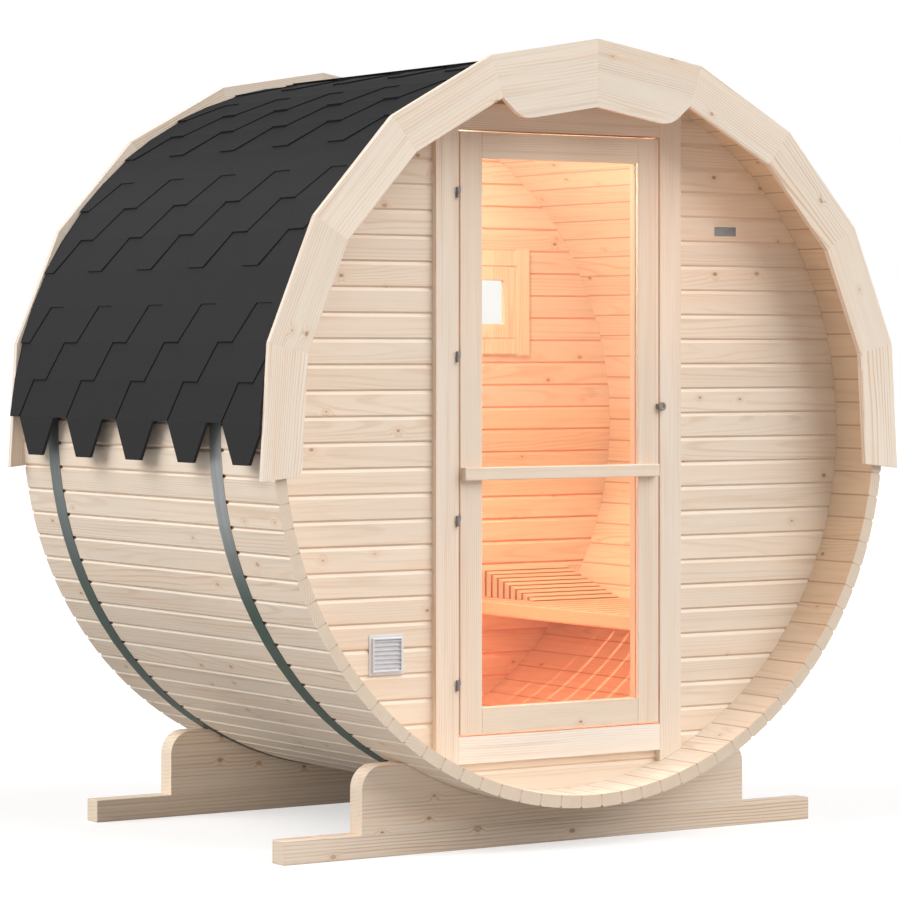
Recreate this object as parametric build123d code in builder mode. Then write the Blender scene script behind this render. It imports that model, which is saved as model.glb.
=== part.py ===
import os
from math import ceil, cos, hypot, radians, sin, sqrt, tan

from build123d import *

# Barrel sauna on two timber cradles, in millimetres.
# X runs across the front, Y runs from the front to the back, Z runs up.
# The origin is on the ground, under the middle of the barrel.

# Barrel of staves
barrel_radius = 1000.0
barrel_length = 1374.5
barrel_underside = 109.3
stave_count = 93
stave_thickness = 34.0
stave_seam_phase = 0.66
stave_groove_width = 12.0
stave_groove_depth = 5.0
fit_gap = 0.3

# End walls of boards laid level
front_wall_recess = 160.0
rear_wall_recess = 92.0
wall_thickness = 34.0
board_pitch = 67.75
first_board_seam = 0.9
board_groove_above = 5.0
board_groove_below = 9.0
board_groove_depth = 5.0

# Door frame and door leaf
door_centre = -8.0
door_opening_width = 666.0
door_sill_rise = 158.7
door_head_drop = 163.3
frame_width = 72.0
frame_proud = 17.0
door_gap = 5.0
leaf_thickness = 40.0
stile_width = 70.0
rail_height = 69.0
pane_thickness = 6.0
pane_bite = 8.0
pane_setback = 11.0
handle_from_hinge_edge = 2.0
handle_from_closing_edge = 12.0
handle_height = 34.0
handle_depth = 22.0
handle_below_middle = 108.0
handle_edge_radius = 3.0

# Hinges and catch
hinge_count = 4
hinge_foot_inset = 133.0
hinge_head_inset = 162.0
hinge_knuckle_radius = 4.5
hinge_knuckle_height = 28.0
hinge_knuckle_gap = 0.5
hinge_pin_radius = 2.4
hinge_pin_clearance = 0.05
hinge_pin_engagement = 11.0
hinge_axis_inset = 6.0
hinge_arm_thickness = 2.2
hinge_plate_thickness = 2.0
hinge_plate_depth = 30.0
catch_radius = 12.0
catch_sides = 24
catch_disc_thickness = 6.5
catch_standoff = 5.5
catch_past_edge = 5.0
catch_foot_width = 9.0
catch_foot_height = 15.0
catch_dish_radius = 6.5
catch_dish_depth = 2.5
catch_above_middle = 66.0

# Vent grille and blank plate on the front wall
vent_width = 107.4
vent_height = 105.0
vent_from_frame = 92.6
vent_above_staves = 114.8
vent_flange = 3.0
vent_depth = 10.0
vent_rim_inset = 8.0
vent_rim_width = 4.0
louvre_count = 7
louvre_pitch = 11.4
louvre_blade = 1.6
louvre_tilt = 40.0
plate_width = 74.6
plate_height = 25.0
plate_thickness = 1.5
plate_from_frame = 130.2
plate_below_staves = 195.1

# Small fixed window in the rear wall
window_from_side = 313.4
window_below_staves = 185.9
window_pane = 132.0
sash_width = 44.0
sash_thickness = 22.0
sash_setback = 4.0
window_pane_thickness = 4.0
window_pane_bite = 6.0
trim_width = 48.0
trim_thickness = 15.0
trim_horn = 4.0

# Steel bands round the barrel
band_width = 58.0
band_thickness = 1.5
band_slack = 0.1
front_band_from_end = 288.5
rear_band_from_end = 185.5

# Shingled roof skin
roof_axis_drop = 32.0
shingle_start = 87.7
shingle_pitch = 5.8
shingle_thickness = 3.0
plain_course_every = 4
tab_spacing = 282.7
tab_foot = 78.3
notch_head = 78.5
first_tab_from_front = 87.6
ridge_cap_pitches = 1.0

# Fascia rings on both ends
fascia_overhang = 47.0
fascia_inward_cover = 36.0
fascia_pitch = 19.24
fascia_count = 5
fascia_thickness = 16.0
scallop_rise = 65.0
scallop_ear_inset = 62.4
scallop_ear_radius = 75.0

# Cradles under the barrel
cradle_thickness = 58.5
front_cradle_from_end = 195.0
rear_cradle_from_end = 166.5
cradle_beam_length = 1737.0
cradle_beam_height = 62.0
saddle_width = 1260.0
saddle_above_underside = 131.7
saddle_corner_radius = 64.0
band_relief_margin = 2.0

# Duckboard floor
floor_edge_clearance = 3.1
floor_board_width = 92.0
floor_board_gap = 11.0
floor_board_count = 7
floor_board_thickness = 22.0
floor_bearer_width = 45.0
floor_bearer_inset = 130.0
floor_end_gap = 6.0

# Benches along both sides, with short slats across them
bench_front = 352.0
bench_rise = 347.0
bench_slat_width = 58.0
bench_slat_gap = 12.0
bench_slat_thickness = 22.0
bench_apron_thickness = 28.0
bench_apron_height = 35.0
bench_batten_width = 24.0
bench_batten_height = 20.0
bench_rail_width = 42.0
bench_rail_height = 45.0

# Headrest of upright boards in a wedge, at the rear end of each bench
headrest_inner_x = 481.0
headrest_length = 278.0
headrest_rise = 86.0
headrest_foot = 4.0
headrest_board_count = 9
headrest_board_gap = 9.0
headrest_tie_inset = 45.0
headrest_tie_width = 24.0
headrest_tie_height = 4.0

# Sizes that follow from the ones above
axis_height = barrel_underside + barrel_radius
half_length = barrel_length / 2
stave_pitch = 360.0 / stave_count
inner_radius = barrel_radius - stave_thickness
stave_half_flat = barrel_radius * tan(radians(stave_pitch / 2)) - stave_groove_width / 2
stave_reach = hypot(barrel_radius, stave_half_flat)
inner_corner_radius = inner_radius / cos(radians(stave_pitch / 2))
wall_flat_radius = inner_radius - fit_gap

front_wall_face = -half_length + front_wall_recess
front_wall_back = front_wall_face + wall_thickness
rear_wall_face = half_length - rear_wall_recess
rear_wall_back = rear_wall_face - wall_thickness
room_length = rear_wall_back - front_wall_back
room_middle = (rear_wall_back + front_wall_back) / 2

frame_face = front_wall_face - frame_proud
door_opening_bottom = axis_height - inner_radius + door_sill_rise
door_opening_top = axis_height + inner_radius - door_head_drop
door_opening_height = door_opening_top - door_opening_bottom
post_left_edge = door_centre - door_opening_width / 2
post_right_edge = door_centre + door_opening_width / 2
post_centre_offset = (door_opening_width + frame_width) / 2
frame_half_width = door_opening_width / 2 + frame_width
frame_left = door_centre - frame_half_width
frame_right = door_centre + frame_half_width
head_top = door_opening_top + frame_width
threshold_bottom = door_opening_bottom - frame_width
leaf_width = door_opening_width - 2 * door_gap
leaf_height = door_opening_height - 2 * door_gap
leaf_middle_height = door_opening_bottom + door_opening_height / 2
leaf_bottom = door_opening_bottom + door_gap
hinge_spacing = (leaf_height - hinge_foot_inset - hinge_head_inset) / (hinge_count - 1)
hinge_heights = [leaf_bottom + hinge_foot_inset + number * hinge_spacing for number in range(hinge_count)]
leaf_left_edge = post_left_edge + door_gap
leaf_right_edge = post_right_edge - door_gap
leaf_middle_y = frame_face + leaf_thickness / 2
pane_middle_y = frame_face + pane_setback + pane_thickness / 2
hinge_x = post_left_edge - hinge_axis_inset
hinge_y = frame_face - hinge_knuckle_radius - fit_gap

floor_pitch = floor_board_width + floor_board_gap
floor_half_width = (floor_pitch * floor_board_count - floor_board_gap) / 2
floor_underside = axis_height - sqrt(inner_radius**2 - floor_half_width**2) + floor_edge_clearance
floor_top = floor_underside + floor_board_thickness
bench_top = floor_top + bench_rise
saddle_top = barrel_underside + saddle_above_underside
fascia_outer_radius = barrel_radius + fascia_overhang
fascia_inner_radius = inner_radius - fascia_inward_cover
scallop_apex_radius = fascia_inner_radius - scallop_rise

band_inner_radius = barrel_radius + band_slack
band_outer_radius = (band_inner_radius + band_thickness) / cos(radians(stave_pitch / 2))
front_band_y = -half_length + front_band_from_end
rear_band_y = half_length - rear_band_from_end
shingle_base_radius = (band_outer_radius + band_slack + roof_axis_drop) / cos(radians(shingle_pitch / 2))

barrel_plane = Plane(origin=(0, 0, axis_height), x_dir=(1, 0, 0), z_dir=(0, -1, 0))
roof_plane = Plane(origin=(0, 0, axis_height - roof_axis_drop), x_dir=(1, 0, 0), z_dir=(0, -1, 0))

os.makedirs("parts", exist_ok=True)


def stave_height(x):
    """How far above or below the axis the staves' inner face lies, at a distance out from it."""
    return sqrt(inner_radius**2 - x**2)


def finish(piece, label):
    """Name a finished piece and write it."""
    piece.label = label
    export_step(piece, f"parts/{label}.step")


def on_barrel(radius, angle):
    """A point of the barrel's section, with the angle taken from the bottom towards the left."""
    return (-radius * sin(radians(angle)), -radius * cos(radians(angle)))


def on_stave(radius, angle, shift):
    """A point beside the middle of a flat stave, shifted along the stave's face."""
    x, z = on_barrel(radius, angle)
    return (x - shift * cos(radians(angle)), z + shift * sin(radians(angle)))


def stave_seam(index):
    """Angle of a seam between two staves, counted from the bottom towards the left."""
    return (index + stave_seam_phase) * stave_pitch


# Staves: the round wall, in eight runs of tongued boards with a V between boards
def stave_outline(first, count):
    """Section of a run of staves, from its first seam to its last."""
    outside = [on_barrel(barrel_radius - stave_groove_depth, stave_seam(first))]
    inside = [on_barrel(inner_corner_radius, stave_seam(first))]
    for index in range(first, first + count):
        middle = stave_seam(index + 0.5)
        outside.append(on_stave(barrel_radius, middle, -stave_half_flat))
        outside.append(on_stave(barrel_radius, middle, stave_half_flat))
        outside.append(on_barrel(barrel_radius - stave_groove_depth, stave_seam(index + 1)))
        inside.append(on_barrel(inner_corner_radius, stave_seam(index + 1)))
    return outside + inside[::-1]


run_names = ("bottom", "lower_left", "left", "upper_left", "top", "upper_right", "right", "lower_right")
run_bounds = [round(index * stave_count / len(run_names)) for index in range(len(run_names) + 1)]
run_shift = -round(stave_count / len(run_names) / 2)

for run_index, run_name in enumerate(run_names):
    run_first = run_bounds[run_index] + run_shift
    run_size = run_bounds[run_index + 1] - run_bounds[run_index]
    with BuildPart() as stave_run:
        with BuildSketch(barrel_plane.offset(half_length)):
            with BuildLine():
                Polyline(*stave_outline(run_first, run_size), close=True)
            make_face()
        extrude(amount=-barrel_length)
    finish(stave_run.part, f"staves_{run_name}")


# Bands: two steel straps drawn tight over the staves, bent a little at every seam
def stave_polygon(flat_radius):
    """A closed outline with one side to each stave."""
    corner_radius = flat_radius / cos(radians(stave_pitch / 2))
    return [on_barrel(corner_radius, stave_seam(index)) for index in range(stave_count)]


with BuildPart() as bands:
    for band_y in (front_band_y, rear_band_y):
        with BuildSketch(barrel_plane.offset(-band_y + band_width / 2)):
            Polygon(*stave_polygon(band_inner_radius + band_thickness), align=None)
            Polygon(*stave_polygon(band_inner_radius), align=None, mode=Mode.SUBTRACT)
        extrude(amount=-band_width)
finish(bands.part, "steel_bands")


# Roof shingles: lapped courses with tapered tabs, each course bent over the one below.
# They rest on the bands at the ridge and stand off the staves towards their foot.
course_count = ceil((180.0 - shingle_start) / shingle_pitch) - 1
tab_courses = [n for n in range(course_count) if n == 0 or n % plain_course_every != 0]


def shingle_course(index):
    """One course: it thins from its tabs up to where the next course's notches end."""
    foot = shingle_start + index * shingle_pitch
    later = [n for n in tab_courses if n > index]
    cover = (later[0] - index + 1) if later else 2
    angles = [min(foot + step * shingle_pitch, 180.0) for step in range(cover + 1)]
    angles = sorted(set(angles))
    lifts = [3.0] + [2.0 - (step - 1) / max(cover - 1, 1) for step in range(1, len(angles))]
    outer = [
        on_barrel(shingle_base_radius + lift * shingle_thickness, angle)
        for lift, angle in zip(lifts, angles)
    ]
    inner = [on_barrel(shingle_base_radius, angle) for angle in angles]
    middle = foot + shingle_pitch / 2
    face_x, face_z = on_barrel(shingle_base_radius, middle)
    tab_plane = Plane(
        origin=(face_x, -half_length, axis_height - roof_axis_drop + face_z),
        x_dir=(0, 1, 0),
        z_dir=(-sin(radians(middle)), 0, -cos(radians(middle))),
    )
    tab_height = shingle_base_radius * 2 * sin(radians(shingle_pitch / 2))
    tab_reach = tab_height / 2 + shingle_thickness
    slope = (tab_spacing - tab_foot - notch_head) / 2 / tab_height
    foot_half = (tab_spacing - tab_foot) / 2 + slope * (tab_reach - tab_height / 2)
    head_half = notch_head / 2
    first_notch = first_tab_from_front + tab_spacing / 2 + (index % 2) * tab_spacing / 2
    notch_total = ceil(barrel_length / tab_spacing) + 2
    up = 1 if tab_plane.y_dir.Z > 0 else -1
    with BuildPart() as course:
        with BuildSketch(roof_plane.offset(half_length)):
            with BuildLine():
                Polyline(*(outer + inner[::-1]), close=True)
            make_face()
        extrude(amount=-barrel_length)
        with BuildSketch(tab_plane):
            for number in range(-1, notch_total):
                with Locations((first_notch + (number - 1) * tab_spacing, 0)):
                    Polygon(
                        (-foot_half, -up * tab_reach),
                        (foot_half, -up * tab_reach),
                        (head_half, up * tab_height / 2),
                        (-head_half, up * tab_height / 2),
                        align=None,
                    )
        extrude(amount=6 * shingle_thickness, both=True, mode=Mode.SUBTRACT)
    return course.part


courses = [shingle_course(index) for index in tab_courses]
with BuildPart() as shingles_left:
    add(courses)
finish(shingles_left.part, "roof_shingles_left")
with BuildPart() as shingles_right:
    add(mirror(shingles_left.part, about=Plane.YZ))
finish(shingles_right.part, "roof_shingles_right")

with BuildPart() as ridge_cap:
    cap_angles = [180.0 + side * ridge_cap_pitches * shingle_pitch for side in (-1, 0, 1)]
    cap_base = shingle_base_radius + 3 * shingle_thickness + fit_gap
    cap_outer = [on_barrel(cap_base + shingle_thickness, angle) for angle in cap_angles]
    cap_inner = [on_barrel(cap_base, angle) for angle in cap_angles]
    with BuildSketch(roof_plane.offset(half_length)):
        with BuildLine():
            Polyline(*(cap_outer + cap_inner[::-1]), close=True)
        make_face()
    extrude(amount=-barrel_length)
finish(ridge_cap.part, "ridge_cap")


# Fascia rings: mitred boards on the end grain of the staves, with a shaped pair at the top
def fascia_point(radius, corner):
    """A corner of the fascia ring, counted from the top towards the left."""
    return on_barrel(radius, 180.0 - corner * fascia_pitch)


def fascia_board(corner, face_plane):
    """A plain board between two mitred corners."""
    with BuildPart() as board:
        with BuildSketch(face_plane):
            with BuildLine():
                Polyline(
                    fascia_point(fascia_outer_radius, corner),
                    fascia_point(fascia_outer_radius, corner + 1),
                    fascia_point(fascia_inner_radius, corner + 1),
                    fascia_point(fascia_inner_radius, corner),
                    close=True,
                )
            make_face()
        extrude(amount=fascia_thickness)
    return board.part


def fascia_top_board(face_plane):
    """The wide left board under the ridge, with its rounded ear."""
    ear_x = fascia_point(fascia_inner_radius, 1)[0] + scallop_ear_inset
    ear_z = scallop_apex_radius + ear_x * tan(radians(fascia_pitch / 2))
    with BuildPart() as board:
        with BuildSketch(face_plane) as outline:
            with BuildLine():
                Polyline(
                    (0, fascia_outer_radius),
                    fascia_point(fascia_outer_radius, 1),
                    fascia_point(fascia_inner_radius, 1),
                    (ear_x, ear_z),
                    (0, scallop_apex_radius),
                    close=True,
                )
            make_face()
            fillet(outline.vertices().sort_by(Axis.Y)[0], scallop_ear_radius)
        extrude(amount=fascia_thickness)
    return board.part


fascia_planes = {
    "front": barrel_plane.offset(half_length),
    "rear": barrel_plane.offset(-half_length - fascia_thickness),
}
for end_name, end_plane in fascia_planes.items():
    top_left = fascia_top_board(end_plane)
    finish(top_left, f"{end_name}_fascia_top_left")
    finish(mirror(top_left, about=Plane.YZ), f"{end_name}_fascia_top_right")
    for group_name, first_corner in (("upper", 1), ("lower", 2)):
        with BuildPart() as fascia_group:
            for corner in range(first_corner, fascia_count, 2):
                board_left = fascia_board(corner, end_plane)
                add(board_left)
                add(mirror(board_left, about=Plane.YZ))
        finish(fascia_group.part, f"{end_name}_fascia_{group_name}_boards")


# End walls: level boards with a V between boards, fitted inside the staves
def wall_slab(face_y, grooved_back):
    """The round slab that an end wall is cut from, grooved on one face or on both."""
    with BuildPart() as slab:
        with BuildSketch(barrel_plane.offset(-face_y)):
            Polygon(*stave_polygon(wall_flat_radius), align=None)
        extrude(amount=-wall_thickness)
        seam_low = ceil((axis_height - wall_flat_radius - first_board_seam) / board_pitch)
        seam_high = int((axis_height + wall_flat_radius - first_board_seam) / board_pitch)
        seam_heights = [first_board_seam + n * board_pitch for n in range(seam_low, seam_high + 1)]
        with BuildSketch(Plane.YZ):
            for seam in seam_heights:
                with Locations((face_y, seam)):
                    Polygon(
                        (0, -board_groove_below),
                        (board_groove_depth, 0),
                        (0, board_groove_above),
                        align=None,
                    )
                if grooved_back:
                    with Locations((face_y + wall_thickness, seam)):
                        Polygon(
                            (0, -board_groove_below),
                            (0, board_groove_above),
                            (-board_groove_depth, 0),
                            align=None,
                        )
        extrude(amount=barrel_radius, both=True, mode=Mode.SUBTRACT)
    return slab.part


def wall_part(slab, x_low, x_high, z_low, z_high):
    """The part of a wall slab between two uprights and two heights."""
    with BuildPart() as portion:
        add(slab)
        with Locations(((x_low + x_high) / 2, 0, (z_low + z_high) / 2)):
            Box(x_high - x_low, 2 * barrel_length, z_high - z_low, mode=Mode.INTERSECT)
    return portion.part


wall_low = axis_height - barrel_radius
wall_high = axis_height + barrel_radius
front_slab = wall_slab(front_wall_face, grooved_back=False)
finish(wall_part(front_slab, -barrel_radius, frame_left, wall_low, wall_high), "front_wall_left")
finish(wall_part(front_slab, frame_right, barrel_radius, wall_low, wall_high), "front_wall_right")
finish(
    wall_part(front_slab, post_left_edge, post_right_edge, head_top, wall_high),
    "front_wall_above_door",
)
finish(
    wall_part(front_slab, post_left_edge, post_right_edge, wall_low, threshold_bottom),
    "front_wall_below_door",
)

sash_size = window_pane + 2 * sash_width
trim_half_width = sash_size / 2 + trim_width
trim_half_height = trim_half_width + trim_horn
window_centre_x = inner_radius - window_from_side - trim_half_width
trim_top = axis_height + stave_height(window_centre_x + trim_half_width) - window_below_staves
window_centre_height = trim_top - trim_half_height
sash_left = window_centre_x - sash_size / 2
sash_right = window_centre_x + sash_size / 2
sash_bottom = window_centre_height - sash_size / 2
sash_top = window_centre_height + sash_size / 2
rear_slab = wall_slab(rear_wall_back, grooved_back=True)
finish(wall_part(rear_slab, -barrel_radius, sash_left, wall_low, wall_high), "rear_wall_left")
finish(wall_part(rear_slab, sash_right, barrel_radius, wall_low, wall_high), "rear_wall_right")
finish(
    wall_part(rear_slab, sash_left, sash_right, sash_top, wall_high),
    "rear_wall_above_window",
)
finish(
    wall_part(rear_slab, sash_left, sash_right, wall_low, sash_bottom),
    "rear_wall_below_window",
)


# Door frame: two posts cut to the round, a head and a threshold between them
frame_depth = front_wall_back - frame_face

with BuildPart() as door_posts:
    with BuildSketch(barrel_plane.offset(-frame_face)):
        Circle(wall_flat_radius)
        with Locations((door_centre - post_centre_offset, 0), (door_centre + post_centre_offset, 0)):
            Rectangle(frame_width, 2 * barrel_radius, mode=Mode.INTERSECT)
    extrude(amount=-frame_depth)
finish(door_posts.part, "door_posts")

with BuildPart() as door_head:
    with Locations((door_centre, frame_face + frame_depth / 2, door_opening_top + frame_width / 2)):
        Box(door_opening_width, frame_depth, frame_width)
finish(door_head.part, "door_head")

with BuildPart() as door_threshold:
    with Locations((door_centre, frame_face + frame_depth / 2, door_opening_bottom - frame_width / 2)):
        Box(door_opening_width, frame_depth, frame_width)
finish(door_threshold.part, "door_threshold")


# Door leaf: stiles and rails grooved for one tall pane
pane_width = leaf_width - 2 * stile_width + 2 * pane_bite
pane_height = leaf_height - 2 * rail_height + 2 * pane_bite
stile_offset = (leaf_width - stile_width) / 2
rail_offset = (leaf_height - rail_height) / 2

with BuildPart() as door_stiles:
    with Locations(
        (door_centre - stile_offset, leaf_middle_y, leaf_middle_height),
        (door_centre + stile_offset, leaf_middle_y, leaf_middle_height),
    ):
        Box(stile_width, leaf_thickness, leaf_height)
    with Locations((door_centre, pane_middle_y, leaf_middle_height)):
        Box(
            pane_width + 2 * fit_gap,
            pane_thickness + 2 * fit_gap,
            pane_height + 2 * fit_gap,
            mode=Mode.SUBTRACT,
        )
finish(door_stiles.part, "door_stiles")

with BuildPart() as door_rails:
    with Locations(
        (door_centre, leaf_middle_y, leaf_middle_height - rail_offset),
        (door_centre, leaf_middle_y, leaf_middle_height + rail_offset),
    ):
        Box(leaf_width - 2 * stile_width, leaf_thickness, rail_height)
    with Locations((door_centre, pane_middle_y, leaf_middle_height)):
        Box(
            pane_width + 2 * fit_gap,
            pane_thickness + 2 * fit_gap,
            pane_height + 2 * fit_gap,
            mode=Mode.SUBTRACT,
        )
finish(door_rails.part, "door_rails")

with BuildPart() as door_glass:
    with Locations((door_centre, pane_middle_y, leaf_middle_height)):
        Box(pane_width, pane_thickness, pane_height)
finish(door_glass.part, "door_glass")

with BuildPart() as door_bar:
    bar_left = leaf_left_edge + handle_from_hinge_edge
    bar_right = leaf_right_edge - handle_from_closing_edge
    bar_middle_height = leaf_middle_height - handle_below_middle
    with Locations(((bar_left + bar_right) / 2, frame_face - handle_depth / 2, bar_middle_height)):
        Box(bar_right - bar_left, handle_depth, handle_height)
    fillet(door_bar.faces().sort_by(Axis.Y)[0].edges(), handle_edge_radius)
finish(door_bar.part, "door_pull_bar")


# Hinges: a fixed knuckle with its pin on the post, and a turning knuckle on the leaf
half_knuckle = (hinge_knuckle_height - hinge_knuckle_gap) / 2

with BuildPart() as post_hinges:
    for height in hinge_heights:
        with BuildSketch(Plane.XY.offset(height - hinge_knuckle_height / 2)):
            with Locations((hinge_x, hinge_y)):
                Circle(hinge_knuckle_radius)
            with Locations((hinge_x - hinge_knuckle_radius / 2, (hinge_y + frame_face) / 2)):
                Rectangle(hinge_knuckle_radius, frame_face - hinge_y)
        extrude(amount=half_knuckle)
        with BuildSketch(Plane.XY.offset(height - hinge_knuckle_height / 2)):
            with Locations((hinge_x, hinge_y)):
                Circle(hinge_pin_radius)
        extrude(amount=half_knuckle + hinge_knuckle_gap + hinge_pin_engagement)
finish(post_hinges.part, "post_hinges")

with BuildPart() as leaf_hinges:
    for height in hinge_heights:
        with BuildSketch(Plane.XY.offset(height + hinge_knuckle_gap / 2)):
            with Locations((hinge_x, hinge_y)):
                Circle(hinge_knuckle_radius)
            arm_back = frame_face - fit_gap
            with Locations(((hinge_x + leaf_left_edge) / 2, arm_back - hinge_arm_thickness / 2)):
                Rectangle(leaf_left_edge - hinge_x, hinge_arm_thickness)
            plate_front = arm_back - hinge_arm_thickness
            plate_back = frame_face + hinge_plate_depth
            with Locations((leaf_left_edge - hinge_plate_thickness / 2, (plate_front + plate_back) / 2)):
                Rectangle(hinge_plate_thickness, plate_back - plate_front)
        extrude(amount=half_knuckle)
        with BuildSketch(Plane.XY.offset(height + hinge_knuckle_gap / 2)):
            with Locations((hinge_x, hinge_y)):
                Circle(hinge_pin_radius + hinge_pin_clearance)
        extrude(amount=hinge_pin_engagement + hinge_pin_clearance, mode=Mode.SUBTRACT)
finish(leaf_hinges.part, "leaf_hinges")


# Catch: a dished steel disc that stands off the closing post, on a foot at the leaf's edge
with BuildPart() as door_catch:
    catch_height = leaf_middle_height + catch_above_middle
    catch_front = frame_face - catch_standoff - catch_disc_thickness
    foot_depth = catch_standoff + catch_disc_thickness / 2
    catch_plane = Plane(
        origin=(leaf_right_edge + catch_past_edge, catch_front, catch_height),
        x_dir=(1, 0, 0),
        z_dir=(0, -1, 0),
    )
    with BuildSketch(catch_plane):
        RegularPolygon(radius=catch_radius, side_count=catch_sides)
    extrude(amount=-catch_disc_thickness)
    with BuildSketch(catch_plane):
        RegularPolygon(radius=catch_dish_radius, side_count=catch_sides)
    extrude(amount=-catch_dish_depth, mode=Mode.SUBTRACT)
    with Locations((leaf_right_edge - catch_foot_width / 2, frame_face - foot_depth / 2, catch_height)):
        Box(catch_foot_width, foot_depth, catch_foot_height)
finish(door_catch.part, "door_catch")


# Vent grille: a flange, a raised rim and sloping louvres
with BuildPart() as vent_grille:
    vent_centre_x = frame_left - vent_from_frame - vent_width / 2
    vent_bottom = axis_height - stave_height(vent_centre_x - vent_width / 2) + vent_above_staves
    vent_centre_height = vent_bottom + vent_height / 2
    vent_plane = Plane(
        origin=(vent_centre_x, front_wall_face, vent_centre_height),
        x_dir=(1, 0, 0),
        z_dir=(0, -1, 0),
    )
    with BuildSketch(vent_plane):
        Rectangle(vent_width, vent_height)
    extrude(amount=vent_flange)
    rim_width = vent_width - 2 * vent_rim_inset
    rim_height = vent_height - 2 * vent_rim_inset
    with BuildSketch(vent_plane):
        Rectangle(rim_width, rim_height)
        Rectangle(rim_width - 2 * vent_rim_width, rim_height - 2 * vent_rim_width, mode=Mode.SUBTRACT)
    extrude(amount=vent_depth)
    blade_run = (vent_depth - vent_flange) * tan(radians(louvre_tilt))
    louvre_side = Plane(
        origin=(vent_centre_x, front_wall_face, vent_centre_height),
        x_dir=(0, -1, 0),
        z_dir=(1, 0, 0),
    )
    with BuildSketch(louvre_side):
        for number in range(louvre_count):
            blade_height = (number - (louvre_count - 1) / 2) * louvre_pitch
            with Locations((0, blade_height if louvre_side.y_dir.Z > 0 else -blade_height)):
                Polygon(
                    (vent_flange - 1, blade_run / 2),
                    (vent_flange - 1, blade_run / 2 + louvre_blade),
                    (vent_depth - 1, -blade_run / 2 + louvre_blade),
                    (vent_depth - 1, -blade_run / 2),
                    align=None,
                )
    extrude(amount=rim_width / 2 - vent_rim_width / 2, both=True)
finish(vent_grille.part, "vent_grille")

# Blank metal plate on the front wall
with BuildPart() as blank_plate:
    plate_y = front_wall_face - plate_thickness / 2
    plate_centre_x = frame_right + plate_from_frame + plate_width / 2
    plate_top = axis_height + stave_height(plate_centre_x + plate_width / 2) - plate_below_staves
    plate_centre_height = plate_top - plate_height / 2
    with Locations((plate_centre_x, plate_y, plate_centre_height)):
        Box(plate_width, plate_thickness, plate_height)
finish(blank_plate.part, "blank_metal_plate")


# Rear window: a square sash with its pane, and battens inside and out
window_middle_y = rear_wall_back - trim_thickness + sash_setback + sash_thickness / 2
pane_size = window_pane + 2 * window_pane_bite

with BuildPart() as window_sash:
    with Locations((window_centre_x, window_middle_y, window_centre_height)):
        Box(sash_size, sash_thickness, sash_size)
        Box(window_pane, 2 * sash_thickness, window_pane, mode=Mode.SUBTRACT)
        Box(
            pane_size + 2 * fit_gap,
            window_pane_thickness + 2 * fit_gap,
            pane_size + 2 * fit_gap,
            mode=Mode.SUBTRACT,
        )
finish(window_sash.part, "window_sash")

with BuildPart() as window_glass:
    with Locations((window_centre_x, window_middle_y, window_centre_height)):
        Box(pane_size, window_pane_thickness, pane_size)
finish(window_glass.part, "window_glass")

with BuildPart() as window_trim:
    upright_offset = (sash_size + trim_width) / 2
    for trim_y in (rear_wall_back - trim_thickness / 2, rear_wall_face + trim_thickness / 2):
        with Locations((window_centre_x, trim_y, window_centre_height)):
            with Locations((-upright_offset, 0, 0), (upright_offset, 0, 0)):
                Box(trim_width, trim_thickness, 2 * trim_half_height)
            with Locations((0, 0, -upright_offset), (0, 0, upright_offset)):
                Box(sash_size, trim_thickness, trim_width)
finish(window_trim.part, "window_trim")


# Cradles: a level beam with a saddle board hollowed to the barrel
front_cradle_y = -half_length + front_cradle_from_end
rear_cradle_y = half_length - rear_cradle_from_end
seat_radius = stave_reach + fit_gap

for cradle_name, cradle_y in (("front", front_cradle_y), ("rear", rear_cradle_y)):
    with BuildPart() as cradle_beam:
        with Locations((0, cradle_y, cradle_beam_height / 2)):
            Box(cradle_beam_length, cradle_thickness, cradle_beam_height)
    finish(cradle_beam.part, f"{cradle_name}_cradle_beam")

    saddle_height = saddle_top - cradle_beam_height
    saddle_plane = Plane(
        origin=(0, cradle_y - cradle_thickness / 2, cradle_beam_height + saddle_height / 2),
        x_dir=(1, 0, 0),
        z_dir=(0, -1, 0),
    )
    with BuildPart() as cradle_saddle:
        with BuildSketch(saddle_plane) as saddle_outline:
            Rectangle(saddle_width, saddle_height)
            fillet(saddle_outline.vertices().group_by(Axis.Y)[-1], saddle_corner_radius)
        extrude(amount=-cradle_thickness)
        with BuildSketch(barrel_plane.offset(half_length)):
            Circle(seat_radius)
        extrude(amount=-barrel_length, mode=Mode.SUBTRACT)
        for band_y in (front_band_y, rear_band_y):
            with BuildSketch(barrel_plane.offset(-band_y + band_width / 2 + band_relief_margin)):
                Circle(band_outer_radius + fit_gap)
            extrude(amount=-band_width - 2 * band_relief_margin, mode=Mode.SUBTRACT)
    finish(cradle_saddle.part, f"{cradle_name}_cradle_saddle")


# Floor: a duckboard whose bearers are cut to the round of the staves
with BuildPart() as floor_boards:
    with Locations((0, room_middle, floor_top - floor_board_thickness / 2)):
        with GridLocations(floor_pitch, 1, floor_board_count, 1):
            Box(floor_board_width, room_length - 2 * floor_end_gap, floor_board_thickness)
finish(floor_boards.part, "floor_boards")

with BuildPart() as floor_bearers:
    bearer_half = floor_pitch * (floor_board_count - 1) / 2
    for bearer_y in (front_wall_back + floor_bearer_inset, rear_wall_back - floor_bearer_inset):
        with BuildSketch(barrel_plane.offset(-bearer_y + floor_bearer_width / 2)):
            Circle(wall_flat_radius)
            with Locations((0, floor_underside - axis_height - barrel_radius / 2)):
                Rectangle(2 * bearer_half, barrel_radius, mode=Mode.INTERSECT)
        extrude(amount=-floor_bearer_width)
finish(floor_bearers.part, "floor_bearers")


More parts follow.
